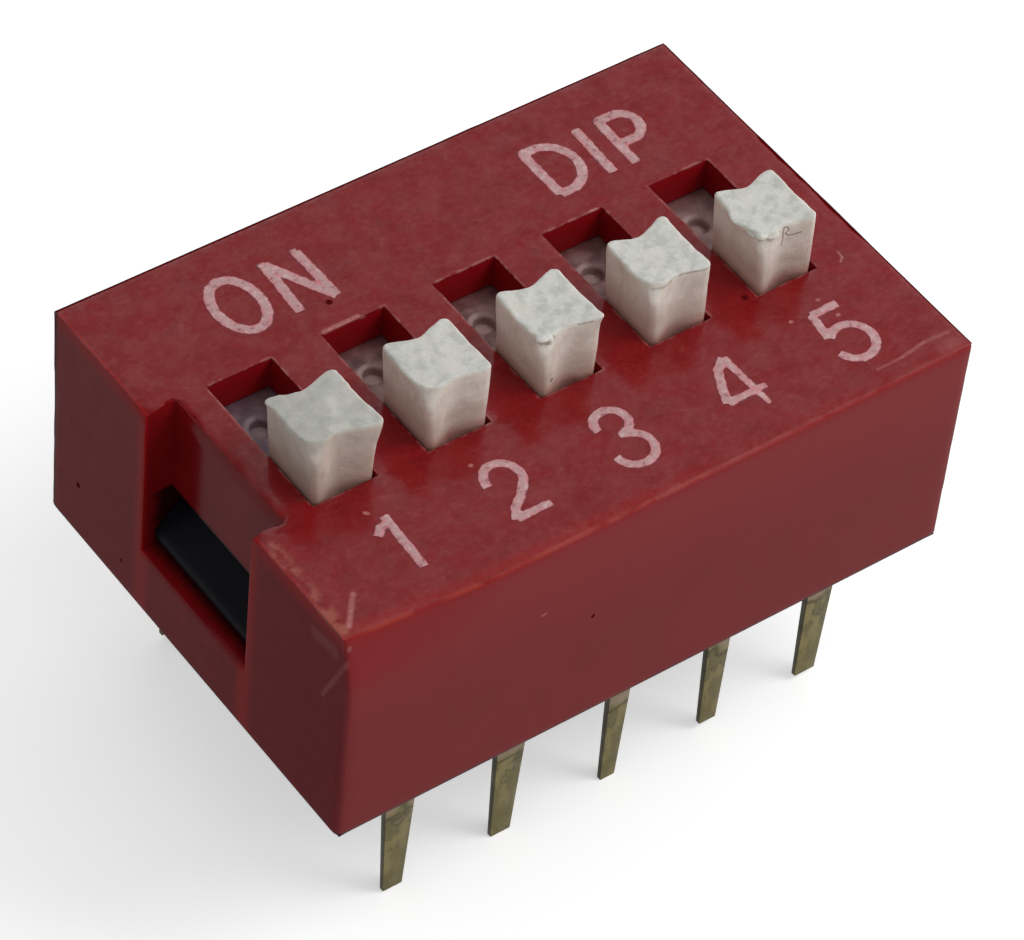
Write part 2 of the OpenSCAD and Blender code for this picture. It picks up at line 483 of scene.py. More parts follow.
# pale scratches, and two painted highlights on slot rims, from end to end, with their radius and
# strength
SCRATCHES_AND_HIGHLIGHTS = (
    ((-6.38, -3.86, TOP), (-6.86, -4.44, TOP), 0.05, 0.5),
    ((-6.86, -4.44, TOP), (-7.1, -4.84, 5.0), 0.04, 0.45),
    ((-7.1, -4.86, 5.0), (-7.1, -4.15, 3.4), 0.05, 0.3),
    ((-7.1, -3.83, 4.75), (-7.1, -4.4, 4.85), 0.14, 0.2),
    ((-2.8, -4.88, 3.64), (-2.72, -4.88, 3.64), 0.035, 0.6),
    ((-2.31, 1.7, 5.33), (-2.24, 1.7, 5.08), 0.06, 0.9),
    # painted highlights on the back rims of slots 2 and 4
    ((-3.15, 1.76, TOP), (-2.4, 1.76, TOP), 0.05, 0.7),
    ((3.0, 1.75, TOP), (3.16, 1.74, TOP), 0.03, 1.0),
    ((5.1, -4.47, TOP), (5.7, -4.46, TOP), 0.028, 0.3),
    ((5.7, -4.46, TOP), (6.3, -4.37, TOP), 0.035, 0.35),
    ((6.3, -4.37, TOP), (6.86, -4.4, TOP), 0.045, 0.25),
    ((6.5, -4.7, TOP), (6.8, -4.68, TOP), 0.13, 0.16),
    ((6.41, -1.61, TOP), (6.37, -1.78, TOP), 0.022, 0.5),
    ((6.37, -1.78, TOP), (6.27, -1.86, TOP), 0.022, 0.5),
    ((4.46, -2.63, TOP), (4.48, -2.63, TOP), 0.035, 0.9),
    ((5.34, -2.95, TOP), (5.36, -2.95, TOP), 0.035, 0.8),
    ((5.25, -2.44, TOP), (5.28, -2.44, TOP), 0.035, 0.5),
    ((-2.81, -2.44, TOP), (-2.79, -2.44, TOP), 0.035, 0.8),
    ((-5.1, -2.38, TOP), (-5.06, -2.42, TOP), 0.035, 0.7),
)


def red_cover_plastic():
    """Red plastic: glossy and scuffed on top, duller on its sides, worn at its front edges."""
    finish = Finish("red_cover_plastic", Specular_IOR_Level=0.0, Coat_Roughness=0.16)
    step, fall, mix, noise = finish.step, finish.fall, finish.mix, finish.noise
    x, y, z = finish.x, finish.y, finish.z
    low, high = COVER_LOW, COVER_HIGH
    half_slot, half_channel = SLOT_LENGTH / 2, CHANNEL_WIDTH / 2
    slots_end = SWITCH_X[-1] + SLOT_WIDTH / 2
    on_top = step(z, high.z - 0.06, high.z - 0.02)
    mottle = noise(0.9, 4.0)
    blotches = noise(0.45, 5.0, 0.6, finish.scaled((0.8, 1.0, 1.0), 0.4))
    grain = noise(0.12, 3.0, 0.6)
    rubs = noise(0.08, 3.0, 0.6, finish.scaled((0.65, 1.0, 1.0), -0.12))
    base = mix(step(mottle, 0.35, 0.65), (0.19, 0.0045, 0.0068), (0.205, 0.005, 0.0075))
    base = mix(on_top * step(blotches, 0.45, 0.7, 0.0, 0.55), base, (0.155, 0.003, 0.005))
    base = mix(on_top * step(rubs, 0.5, 0.75, 0.0, 0.22), base, (0.3, 0.03, 0.035))
    # painted light: the front is painted brighter towards its top; it has worn back at its left
    # corner
    worn_back = (1 - (x - low.x) * (1 / WEAR_LENGTH)).clamped()
    worn_back = worn_back * (1 - (high.z - z) * (1 / WEAR_HEIGHT)).clamped()
    from_front = y - low.y - CORNER_WEAR * worn_back
    on_front = fall(from_front, 0.02, 0.1)
    base = mix(on_front * step(z, 2.2, 5.2, 0.3, 1.0), base, (0.265, 0.009, 0.012))
    # the end is darker towards the front and mottled; a painted highlight makes it redder along its
    # top and beside the channel
    on_end = fall(x, low.x + 0.02, low.x + 0.1)
    to_front = fall(y, low.y, 2.0)
    base = mix(on_end * to_front * 0.6, base, (0.17, 0.003, 0.009))
    edge_highlight = step(z, high.z - 0.5, high.z - 0.05) | fall(abs(abs(y) - half_channel), 0.05, 0.35)
    base = mix(on_end * edge_highlight * 0.6, base, (0.4, 0.009, 0.009))
    base = mix(on_end * step(blotches, 0.45, 0.65, 0.0, 0.3), base, (0.25, 0.012, 0.022))
    # the skin is gone along the front top edge, which shows a brighter red
    edge_line = fall(abs(from_front - 0.03), 0.03, 0.09)
    edge_line = edge_line * step(z, high.z - 0.12, high.z - 0.04)
    edge_fade = step(x, -2.0, 6.0, 1.0, 0.35) * step(x, low.x + 0.2, low.x + 0.7)
    worn = edge_line * step(noise(0.5, 3.0), 0.33, 0.55) * edge_fade
    orange = mix(step(x, -4.5, 0.0), (0.36, 0.042, 0.024), (0.34, 0.07, 0.06))
    base = mix(worn * 0.75, base, orange)
    beside = fall(from_front, 0.12, 0.42) * on_top * step(x, -1.0, 1.5, 1.0, 0.2)
    base = mix(beside * 0.5, base, (0.27, 0.006, 0.006))
    # the top is rubbed pale from the channel's front corner to the corner of the cover
    rubbed = finish.streak((-6.98, -2.14, TOP), (-7.02, -4.5, TOP), 0.13, 0.8)
    rubbed = rubbed * step(noise(0.3, 3.0), 0.4, 0.62)
    base = mix(rubbed * 0.6, base, (0.36, 0.11, 0.075))
    # short pale scuffs, which run one way in some places and another way in others
    first_way, second_way = (
        step(noise(0.17, 2.0, 0.5, finish.scaled((0.35, 1.0, 1.0), turn)), 0.6, 0.78)
        for turn in (0.5, -0.9))
    zone = noise(1.4, 2.0)
    scuffs = (first_way * step(zone, 0.5, 0.6)) | (second_way * step(zone, 0.5, 0.4))
    scuffs = scuffs * on_top
    base = mix(scuffs * 0.07, base, (0.5, 0.18, 0.17))
    # the edges of the slots are nicked pale
    from_slot = (abs(finish.from_switch()) - SLOT_WIDTH / 2) | (abs(y) - half_slot)
    nicks = fall(abs(from_slot - 0.02), 0.015, 0.06) * on_top
    nicks = nicks * step(noise(0.25, 4.0, 0.6), 0.45, 0.6)
    nicks = nicks * fall(abs(x), slots_end + 0.15, slots_end + 0.25)
    base = mix(nicks * 0.42, base, (0.42, 0.17, 0.16))
    # pale scratches, and painted highlights on two slot rims
    for start, end, radius, strength in SCRATCHES_AND_HIGHLIGHTS:
        scratch_or_highlight = finish.streak(start, end, radius, 0.7) * (strength * grain * 2)
        base = mix(scratch_or_highlight, base, (0.45, 0.17, 0.16))
    # dark lines along the back and right edges and the end's back edge, and painted shade along the
    # foot
    dark_lines_and_foot_shade = step(y, high.y - 0.1, high.y - 0.05) * step(z, high.z - 0.13, high.z - 0.08)
    dark_lines_and_foot_shade = dark_lines_and_foot_shade | step(y, high.y - 0.19, high.y - 0.11) * on_end
    dark_lines_and_foot_shade = dark_lines_and_foot_shade | fall(z + 0.1 * mottle, low.z + 0.11, low.z + 0.19)
    to_right = finish.facing("X")
    right_edges = step(to_right, 0.2, 0.5) * fall(to_right, 0.9, 0.97)
    dark_lines_and_foot_shade = dark_lines_and_foot_shade | 0.8 * right_edges * step(x, high.x - 0.2, high.x - 0.12)
    base = mix(dark_lines_and_foot_shade * 0.85, base, (0.03, 0.002, 0.003))
    # the walls of the slots have kept their full red
    in_slots = fall(z, high.z - 0.1, high.z - 0.04)
    in_slots = in_slots * fall(abs(y), half_slot + 0.05, half_slot + 0.1)
    in_slots = in_slots * fall(abs(x), slots_end + 0.2, slots_end + 0.3)
    base = mix(in_slots, base, (0.235, 0.005, 0.008))
    # the ledges of the end windows are darkened by dirt and by painted shade under the latches
    on_ledge = fall(z, WINDOW_TOP, WINDOW_TOP + 0.1)
    on_ledge = on_ledge * fall(abs(y), half_channel, half_channel + 0.05)
    dirt_and_shade = high.x - abs(x) + 0.25 * noise(0.2, 4.0, 0.6)
    dirt_and_shade = step(dirt_and_shade, 0.2, 0.6) * on_ledge
    base = mix(dirt_and_shade * 0.92, base, (0.008, 0.002, 0.003))
    pits = 0.0
    for place, radius in PITS:
        pits = finish.spot(place, radius) | pits
    base = mix(pits * 0.85, base, (0.05, 0.003, 0.004))
    on_sides = step(y, high.y - 0.12, high.y - 0.04) | fall(from_front, 0.04, 0.12)
    polish = step(noise(0.4, 5.0, 0.65) + 0.5 * rubs, 0.5, 1.0, 0.22, 0.62)
    polish = on_top * polish - 0.03 * on_end * to_front - 0.02 * on_end
    finish.set("Coat Weight", (0.19 + 0.11 * on_sides + polish) * (1 - pits))
    roughness = 0.28 + 0.12 * grain + 0.08 * mottle + 0.2 * scuffs
    height = 0.4 * grain + 0.4 * noise(0.35, 2.0) + 0.25 * rubs * on_top
    return finish.done(base, roughness, height, 0.0035)


# a hair stuck to the front of a knob: points along it, across and up
HAIR = (
    (-0.12, 6.25), (-0.11, 6.43), (-0.13, 6.62), (-0.12, 6.73), (-0.04, 6.7), (0.0, 6.61),
    (-0.07, 6.54), (0.01, 6.46), (0.1, 6.46), (0.25, 6.5),
)
# painted highlights: pale places on the top of the first knob, from end to end
FIRST_KNOB_HIGHLIGHTS = (((-4.85, -0.80), (-4.94, -1.09)), ((-5.20, -1.42), (-4.97, -1.45)))
# painted shadow lines under the front rims of some knobs: the switch, from where to where, and how
# broken
RIM_SHADOW_LINES = (
    (3, (0.12, -0.09), (0.52, -0.08), 1.0), (3, (-0.76, -0.2), (-0.52, -0.22), 0.8),
    (3, (-0.43, -0.06), (-0.45, -0.14), 0.0), (4, (-0.68, -0.14), (-0.3, -0.13), 0.4),
    (4, (-0.3, -0.13), (0.08, -0.1), 0.9), (4, (0.08, -0.1), (0.5, -0.07), 0.2),
)


def milky_nylon():
    """The sliders' off-white nylon: frosted on the knobs' tops, with painted shade making it warmer
    and duller below.
    """
    finish = Finish(
        "milky_nylon", Specular_IOR_Level=0.3, Subsurface_Weight=0.2,
        Subsurface_Radius=(1.0, 0.7, 0.45), Subsurface_Scale=0.00025)
    step, fall, mix, noise = finish.step, finish.fall, finish.mix, finish.noise
    x, y, z = finish.x, finish.y, finish.z
    top = SLIDER_HIGH.z
    crystals = noise(0.07, 4.0, 0.65)
    clouds = noise(0.45, 3.0)
    frosted = mix(step(crystals, 0.3, 0.75), (0.57, 0.565, 0.53), (0.66, 0.66, 0.62))
    lumps = noise(0.26, 4.0, 0.55)
    frosted = mix(0.8 * step(lumps, 0.42, 0.66), frosted, (0.45, 0.46, 0.42))
    warmth = noise(0.5, 3.0, 0.6)
    frosted = mix(0.7 * step(warmth, 0.5, 0.7), frosted, (0.66, 0.62, 0.57))
    # the knob of switch 1 is the dirtiest
    dirt = step(x, -6.0, -2.0, 0.62, 0.0)
    frosted = mix(dirt, frosted, (0.30, 0.29, 0.26))
    # painted highlights on the top of the first knob
    for start, end in FIRST_KNOB_HIGHLIGHTS:
        place = finish.streak((*start, top), (*end, top), 0.09, 0.9)
        frosted = mix(place * 0.6, frosted, (0.62, 0.61, 0.56))
    # painted shade and painted red light from the cover: the sides are palest high up, browner
    # below, and redder at the slot
    side = mix(step(z, TOP - 0.1, TOP + 0.3), (0.42, 0.19, 0.16), (0.61, 0.52, 0.455))
    side = mix(step(z, TOP + 0.3, TOP + 1.0), side, (0.81, 0.77, 0.69))
    stains = noise(0.3, 4.0, 0.6, finish.scaled((1.0, 1.0, 0.45)))
    side = mix(0.35 * step(stains, 0.42, 0.68), side, (0.5, 0.41, 0.32))
    side = mix(dirt * 0.85, side, (0.40, 0.31, 0.25))
    ragged = finish.facing("Z") + 0.3 * noise(0.14, 3.0, 0.6)
    upward = step(ragged, 0.2, 0.85) * step(z + 0.15 * clouds, top - 0.3, top - 0.02)
    base = mix(upward, side, frosted)
    # painted highlights: the rims and upright corners that face right and back are painted pale
    rim_highlights = 0.0
    for axis in "XY":
        toward = finish.facing(axis)
        rim_highlights = step(toward, 0.25, 0.6) * fall(toward, 0.85, 0.98) | rim_highlights
    rim_highlights = rim_highlights * step(z, TOP + 0.1, TOP + 0.5)
    base = mix(rim_highlights * 0.7, base, (0.9, 0.74, 0.70))
    # painted shade: the flanges, down in the slots, are the same nylon painted far darker
    flange = step(noise(0.35, 3.0), 0.35, 0.65)
    flange = mix(flange, (0.13, 0.065, 0.063), (0.26, 0.15, 0.145))
    # a painted highlight on the rim of each dimple, on the side that faces the back left
    along = y - (REST_Y + DIMPLE_REACH)
    from_dimple = finish.add("ShaderNodeCombineXYZ", inputs={0: finish.from_switch(), 1: along})
    away = finish.vector("LENGTH", from_dimple, output="Value")
    back_left = finish.vector("DOT_PRODUCT", from_dimple, (-0.75, 0.65, 0.0), output="Value")
    shine = fall(abs(away - 0.27), 0.02, 0.09) * step(back_left, 0.05, 0.25)
    flange = mix(0.75 * shine, flange, (0.42, 0.3, 0.29))
    # painted light: the bottom of each dimple is painted lighter, against its shade
    dimple_lightening = step(z, FLANGE_TOP - 0.2, FLANGE_TOP - 0.05, 0.6, 0.0)
    flange = mix(dimple_lightening, flange, (0.45, 0.3, 0.28))
    # the flanges are paler towards the right and dirty at the left; painted shade and painted red
    # light from the walls darken and redden them near the slots' back walls
    flange = mix(step(x, 2.0, 6.0, 0.0, 0.35), flange, (0.33, 0.22, 0.21))
    back_wall_shade_and_bounce = step(y + 0.15 * clouds, 1.45, 1.8, 0.0, 0.6)
    flange = mix(back_wall_shade_and_bounce, flange, (0.17, 0.035, 0.035))
    flange = mix(dirt, flange, (0.085, 0.075, 0.11))
    base = mix(step(z, FLANGE_TOP + 0.05, FLANGE_TOP + 0.12), flange, base)
    # a hair on the knob of switch 5 and a pit in the knob of switch 3
    front = REST_Y - KNOB_LENGTH / 2
    on_front = fall(y, front + 0.25, front + 0.35) * (1 - upward)
    flattened = finish.scaled((1.0, 0.0, 1.0))
    hair = 0.0
    for start, end in zip(HAIR, HAIR[1:]):
        places = ((SWITCH_X[-1] + across, 0, up) for across, up in (start, end))
        hair = finish.streak(*places, 0.016, 0.7, flattened) | hair
    base = mix(hair * on_front * 0.65, base, (0.08, 0.06, 0.035))
    pit = finish.spot((SWITCH_X[2] - 0.43, front + 0.03, 5.65), 0.045)
    base = mix(pit * 0.7, base, (0.1, 0.05, 0.045))
    # painted shadow lines under the front rims of some knobs
    whole = step(noise(0.16, 2.0), 0.42, 0.55)
    for i, start, end, broken in RIM_SHADOW_LINES:
        places = ((SWITCH_X[i - 1] + across, 0, top + up) for across, up in (start, end))
        rim_shadow_line = finish.streak(*places, 0.022, 0.7, flattened) * (1 - broken * (1 - whole))
        base = mix(rim_shadow_line * on_front * 0.6, base, (0.14, 0.12, 0.09))
    height = 0.25 * crystals + 0.3 * clouds + 1.6 * lumps
    return finish.done(base, 0.33 + 0.2 * crystals, height, 0.015)


def tarnished_brass():
    """The terminals' dull olive plating, stained in places."""
    finish = Finish("tarnished_brass", Metallic=1.0)
    step, fall, mix, noise = finish.step, finish.fall, finish.mix, finish.noise
    stain = noise(0.3, 4.0, 0.6, finish.scaled((1.0, 1.0, 0.55), 0.6))
    drawn = noise(0.06, 2.0, 0.5, finish.scaled((1.0, 1.0, 0.15)))
    base = mix(step(stain, 0.3, 0.65), (0.195, 0.16, 0.068), (0.135, 0.115, 0.05))
    # a pale crust at the root, with a dark line below it and reddish places
    crust = finish.z + 1.1 * noise(0.5, 1.5)
    base = mix(0.7 * step(crust, -1.2, -1.05), base, (0.25, 0.195, 0.14))
    base = mix(0.7 * fall(abs(crust + 1.27), 0.02, 0.1), base, (0.06, 0.05, 0.025))
    reddish = step(noise(0.25, 3.0), 0.4, 0.65) * step(finish.z, -1.8, -1.4)
    base = mix(0.5 * reddish, base, (0.25, 0.11, 0.09))
    # dark outlines of stains below the crust, fainter towards the tip
    outlines = fall(abs(stain - 0.52), 0.01, 0.035)
    outlines = outlines * step(finish.z, -3.2, -1.9, 0.1, 0.7) * fall(crust, -1.4, -1.2)
    base = mix(outlines, base, (0.06, 0.055, 0.035))
    # the sheared edges of the strip are dark
    sheared = step(abs(finish.facing("X")), 0.35, 0.7)
    base = mix(sheared * 0.75, base, (0.02, 0.022, 0.02))
    return finish.done(base, 0.38 + 0.25 * stain, 0.4 * drawn + 0.6 * stain, 0.005)


def black_base_nylon():
    """The base's black nylon, with a soft moulded sheen."""
    finish = Finish("black_base_nylon", Specular_IOR_Level=0.04)
    clouds = finish.noise(0.4, 3.0)
    grain = finish.noise(0.08, 2.0)
    black = finish.mix(clouds, (0.002, 0.002, 0.003), (0.006, 0.005, 0.008))
    return finish.done(black, 0.35 + 0.2 * grain, grain, 0.004)


def spring_bronze():
    """The contact springs' bright bronze strip."""
    finish = Finish("spring_bronze", Metallic=1.0)
    drawn = finish.noise(0.05, 2.0, 0.5, finish.scaled((1.0, 0.2, 1.0)))
    bronze = finish.mix(drawn, (0.65, 0.47, 0.2), (0.8, 0.62, 0.3))
    return finish.done(bronze, 0.22 + 0.2 * drawn, drawn, 0.003)


def pale_print():
    """White ink that has gone grey, and pinker where it thins out at its edges."""
    finish = Finish("pale_print", Specular_IOR_Level=0.3)
    step, mix = finish.step, finish.mix
    patchy = finish.noise(0.13, 4.0, 0.65)
    height = (finish.z - TOP) + 0.003 * patchy
    base = mix(step(height, 0.0085, 0.0128), (0.58, 0.19, 0.21), (0.46, 0.27, 0.27))
    base = mix(step(patchy, 0.5, 0.7), base, (0.58, 0.38, 0.385))
    base = mix(0.85 * finish.fall(patchy, 0.33, 0.45), base, (0.28, 0.095, 0.11))
    # the foot of the ink is dark
    base = mix(step(height, 0.0055, 0.0095, 0.9, 0.0), base, (0.07, 0.007, 0.01))
    return finish.done(base, 0.4 + 0.2 * patchy, patchy, 0.006)


# ---------------- cover

def cover_shell(finish):
    """The red box, open below, with slots, ribs, a channel and two end windows."""
    low, high = COVER_LOW, COVER_HIGH
    shell = block("cover_shell", low, high)
    bay = (PITCH - RIB) / 2
    cavity_x, cavity_y = SWITCH_X[-1] + bay, high.y - SIDE_WALL
    cut(shell, block("room", (-cavity_x, -cavity_y, low.z - 1), (cavity_x, cavity_y, RIB_FOOT)))
    for x in SWITCH_X:
        cut(shell,
            block("bay", (x - bay, -cavity_y, RIB_FOOT - 0.1), (x + bay, cavity_y, UNDER_TOP)),
            block("slot", (x - SLOT_WIDTH / 2, -SLOT_LENGTH / 2, UNDER_TOP - 0.1),
                  (x + SLOT_WIDTH / 2, SLOT_LENGTH / 2, high.z + 1)))
    inside, half = cavity_x - 0.1, CHANNEL_WIDTH / 2
    inner_edge = low.x + CHANNEL_DEPTH
    cut(shell,
        block("channel", (low.x - 1, -half, WINDOW_FLOOR), (inner_edge, half, high.z + 1)),
        block("window", (low.x - 1, -half, WINDOW_FLOOR), (-inside, half, WINDOW_TOP)),
        block("window", (inside, -half, WINDOW_FLOOR), (high.x + 1, half, WINDOW_TOP)))

    def inward(point):
        """How far a point is inside the sides and the ends of the box."""
        return high.x - abs(point.x), high.y - abs(point.y)

    def on_rim(point, level):
        return abs(point.z - level) < CLOSE and min(inward(point)) < UPRIGHT_EDGE + 0.01

    def upright(mesh, edge):
        return all(max(inward(p)) < CLOSE for p in ends(mesh, edge))

    def slot_or_channel(mesh, edge):
        first, second = ends(mesh, edge)
        middle = (first + second) / 2
        on_top = min(first.z, second.z) > high.z - CLOSE and abs(middle.y) < SLOT_LENGTH
        on_end = min(abs(first.x), abs(second.x)) > high.x - CLOSE and abs(middle.y) < half + 0.01
        return on_top and not on_rim(middle, high.z) or on_end and middle.z < high.z - CLOSE

    round_edges(shell, UPRIGHT_EDGE, 4, upright)
    for level in (low.z, high.z):
        round_edges(shell, OUTER_EDGE, 3,
                    lambda mesh, edge: all(on_rim(p, level) for p in ends(mesh, edge)))
    round_edges(shell, SLOT_EDGE, 2, slot_or_channel)
    for axis, first, last in zip("XYZ", low, high):
        cross_cut(shell, axis, steps(first + 0.15, last - 0.15, 0.2))

    def near_edges(point):
        """1 on the upright and top edges of the box, and nothing 0.2 mm away from them."""
        gaps = sorted((*inward(point), high.z - point.z))
        return 1 - gaps[1] / 0.2

    roughen(shell, 0.03, 0.6, near_edges, middle=1.0)

    def worn_corner(point):
        """1 on the front top edge at the left corner, and nothing well away from it."""
        away = ((point.x - low.x) / WEAR_LENGTH, (point.y - low.y) / WEAR_WIDTH,
                (high.z - point.z) / WEAR_HEIGHT)
        return math.prod(max(0, 1 - share) for share in away)

    displace(shell, CORNER_WEAR, worn_corner, "Y")

    def near_openings(point):
        """1 on the top round the slots and the channel."""
        return 1 if point.z > high.z - 0.1 and abs(point.y) < half + 0.05 else 0

    roughen(shell, 0.03, 0.35, near_openings, middle=1.0, seed=20.0)
    # the channel's corners slope away towards the end of the cover
    displace(shell, -0.1, near((low.x, half, high.z), 0.35), "Z")
    displace(shell, -0.08, near((low.x, -half, high.z), 0.35), "Z")

    def along_inner_edge(point):
        """1 on the top edge of the channel's inner wall."""
        away = math.hypot(point.x - inner_edge, point.z - high.z)
        return 1 - away / 0.25 if abs(point.y) < half + 0.05 else 0

    roughen(shell, 0.2, 0.4, along_inner_edge, middle=0.8, seed=31.0)
    finish_piece(shell, "root", finish, ["cover"])


# ---------------- sliders

def knob_block():
    """The knob: hollow in front and behind, wider at its top than in the slot."""
    half_width, half_length = KNOB_WIDTH / 2, KNOB_LENGTH / 2
    top, foot = SLIDER_HIGH.z, FLANGE_TOP - 0.1
    knob = block("knob", (-half_width, -half_length, foot), (half_width, half_length, top))
    round_edges(knob, KNOB_CORNER, 5, lambda mesh, edge: rise(mesh, edge) > 1)
    round_edges(
        knob, KNOB_RIM, 3, lambda mesh, edge: min(p.z for p in ends(mesh, edge)) > top - CLOSE)
    cross_cut(knob, "X", steps(-half_width, half_width, 0.06))
    cross_cut(knob, "Y", steps(-half_length, half_length, 0.06))
    cross_cut(knob, "Z", steps(FLANGE_TOP, top, 0.08))

    def grooved(side):
        """A share of 1 on the middle of the knob's front or back, and of 0 beside its groove."""
        def share(point):
            away = min(abs(point.x) / (GROOVE_WIDTH / 2), 1)
            reach = max(0, side * point.y / half_length)
            return reach * (0.5 + 0.5 * math.cos(math.pi * away))
        return share

    def leaning(side):
        """A share that grows upwards from the slot and towards one side of the knob."""
        return lambda point: (point.z - TOP) / (top - TOP) * (0.5 + side * point.x / half_width / 2)

    for side in (-1, 1):
        displace(knob, -side * GROOVE_DEPTH, grooved(side), "Y")
    displace(knob, -FLARE_LEFT, leaning(-1), "X")
    displace(knob, FLARE_RIGHT, leaning(1), "X")

    def dished(point):
        """1 on the middle of the top, and nothing at its corners and far below it."""
        at_corner = abs(point.x * point.y) / (half_width * half_length)
        return (1 - at_corner) * (1 - (top - point.z) / 0.3)

    displace(knob, -KNOB_DISH, dished, "Z")
    # the front left corner is worn round at the top
    corner = (-half_width - FLARE_LEFT, -half_length, top)
    displace(knob, 0.16, near(corner, 0.5), "Y")
    displace(knob, 0.1, near(corner, 0.5), "X")
    return knob


def slider_pattern():
    """A slider at rest under the middle of the cover."""
    low, high = SLIDER_LOW, SLIDER_HIGH
    half_width, half_length = (high.x - low.x) / 2, (high.y - low.y) / 2
    flange = block(
        "slider", (-half_width, -half_length, FLANGE_UNDER), (half_width, half_length, FLANGE_TOP))
    round_edges(flange, 0.03, 2, lambda mesh, edge: True)
    for y in (-DIMPLE_REACH, DIMPLE_REACH):
        bottom, above = Vector((0, y, FLANGE_TOP - DIMPLE_DEPTH)), Vector((0, y, FLANGE_TOP + 1))
        cut(flange, rod("dimple", DIMPLE_RADIUS, bottom, above))
        round_edges(flange, DIMPLE_RIM, 5, lambda mesh, edge: all(
            abs(math.hypot(p.x, p.y - y) - DIMPLE_RADIUS) < 0.01 and p.z > FLANGE_TOP - 0.01
            for p in ends(mesh, edge)))
    foot = block("foot", (-FOOT_WIDTH / 2, -FOOT_LENGTH / 2, low.z),
                 (FOOT_WIDTH / 2, FOOT_LENGTH / 2, FLANGE_UNDER + 0.1))
    round_edges(foot, 0.05, 2, lambda mesh, edge: True)
    cut(foot, block("pocket", (-POCKET_WIDTH / 2, -POCKET_LENGTH / 2, low.z - 1),
                    (POCKET_WIDTH / 2, POCKET_LENGTH / 2, POCKET_TOP)))
    peg_end = Vector((FOOT_WIDTH / 2 - 0.1, 0, 0))
    peg_middle = Vector((0, 0, PEG_HEIGHT))
    weld(foot, rod(
        "peg", PEG_RADIUS, peg_middle - peg_end, peg_middle + peg_end, math.pi / 2, 32))
    knob = knob_block()
    shift_mesh(knob, (KNOB_SHIFT, 0, 0))
    weld(flange, foot, knob)
    return flange


# burrs on the tops of some knobs: the switch, the place from the knob's middle, the pull
# and its reach
BURRS = (
    (1, (-0.74, 0.66), (-0.05, 0.02, 0), 0.2), (1, (-0.75, -0.7), (0, 0.03, -0.06), 0.4),
    (1, (0.7, -0.72), (0.07, -0.06, -0.04), 0.9), (3, (0.62, -0.74), (0.07, -0.06, 0.04), 0.2),
    (3, (-0.6, -0.78), (0, 0.08, -0.03), 0.35), (4, (0.6, 0.72), (0.02, 0.03, 0.02), 0.3),
    (5, (-0.76, 0.0), (-0.12, 0, 0), 0.35),
)
# how much further each knob reaches to the right than the pattern, in the slot and at its top
SWOLLEN = ((0.15, 0.14), (0.13, 0.09), (0.08, 0.04), (0.12, 0.02), (0.08, 0.0))
# flaps of nylon that hang at the front left corner: the switch, the flap's middle and its size
FLAPS = (
    (3, (-0.64, -0.6, -0.07), (0.17, 0.12, 0.07)), (3, (-0.53, -0.66, -0.12), (0.07, 0.08, 0.07)),
    (5, (-0.72, -0.38, -0.12), (0.1, 0.2, 0.06)), (5, (-0.63, -0.56, -0.1), (0.15, 0.13, 0.08)),
    (5, (-0.44, -0.68, -0.12), (0.14, 0.08, 0.06)),
)


def swollen(in_slot, at_top):
    """A share that grows to the right, and from 1 in the slot to the value at the knob's top."""
    def share(point):
        if point.z < FLANGE_TOP + 0.01:
            return 0
        height = max(0, point.z - TOP) / (SLIDER_HIGH.z - TOP)
        return min(1, point.x * 2) * (1 + (at_top / in_slot - 1) * height)
    return share


def sliders(finish):
    """The five sliders at rest, each with its own swelling, burrs and flaps."""
    pattern = slider_pattern()
    top = SLIDER_HIGH.z
    for i in range(1, POSITIONS + 1):
        piece = copy_of(pattern, f"slider_{i}")
        in_slot, at_top = SWOLLEN[i - 1]
        displace(piece, in_slot, swollen(in_slot, at_top), "X")
        for switch, (across, along), pull, reach in BURRS:
            if switch == i:
                spot = near((across + KNOB_SHIFT, along, top), reach)
                for axis, by in zip("XYZ", pull):
                    if by:
                        displace(piece, by, spot, axis)
        for switch, place, size in FLAPS:
            if switch == i:
                bpy.ops.mesh.primitive_uv_sphere_add(
                    segments=24, ring_count=12, radius=1, scale=size,
                    location=Vector(place) + Vector((0, 0, top)))
                weld(piece, settled(bpy.context.object, "flap"))
        roughen(piece, 0.05, 0.22, lambda point: 1 - (top - point.z) / 0.2, 3.0 * i, middle=0.7)
        roughen(piece, 0.03, 0.5, lambda point: (point.z - TOP) * 3, 7.0 * i)
        # the highest point of each knob is as high as it is in the model
        highest = max(vertex.co.z for vertex in piece.data.vertices)
        displace(piece, top - highest, lambda point: (point.z - TOP) / (highest - TOP), "Z")
        shift_mesh(piece, (SWITCH_X[i - 1], REST_Y, 0))
        finish_piece(piece, f"slider_{i}", finish, [f"actuator_{i}"], sharp=40)
    bpy.data.objects.remove(pattern)


# ---------------- terminals

# the front legs: the width at the bend and at the tip, how far each is bent to the right at
# either end, and how much shorter it is than the longest
LEGS = (
    (0.80, 0.46, 0.20, 0.21, 0.04), (0.77, 0.48, 0.26, 0.23, 0.0), (0.58, 0.36, 0.32, 0.29, 0.0),
    (0.62, 0.42, 0.18, 0.21, 0.17), (0.71, 0.51, 0.18, 0.14, 0.12),
)


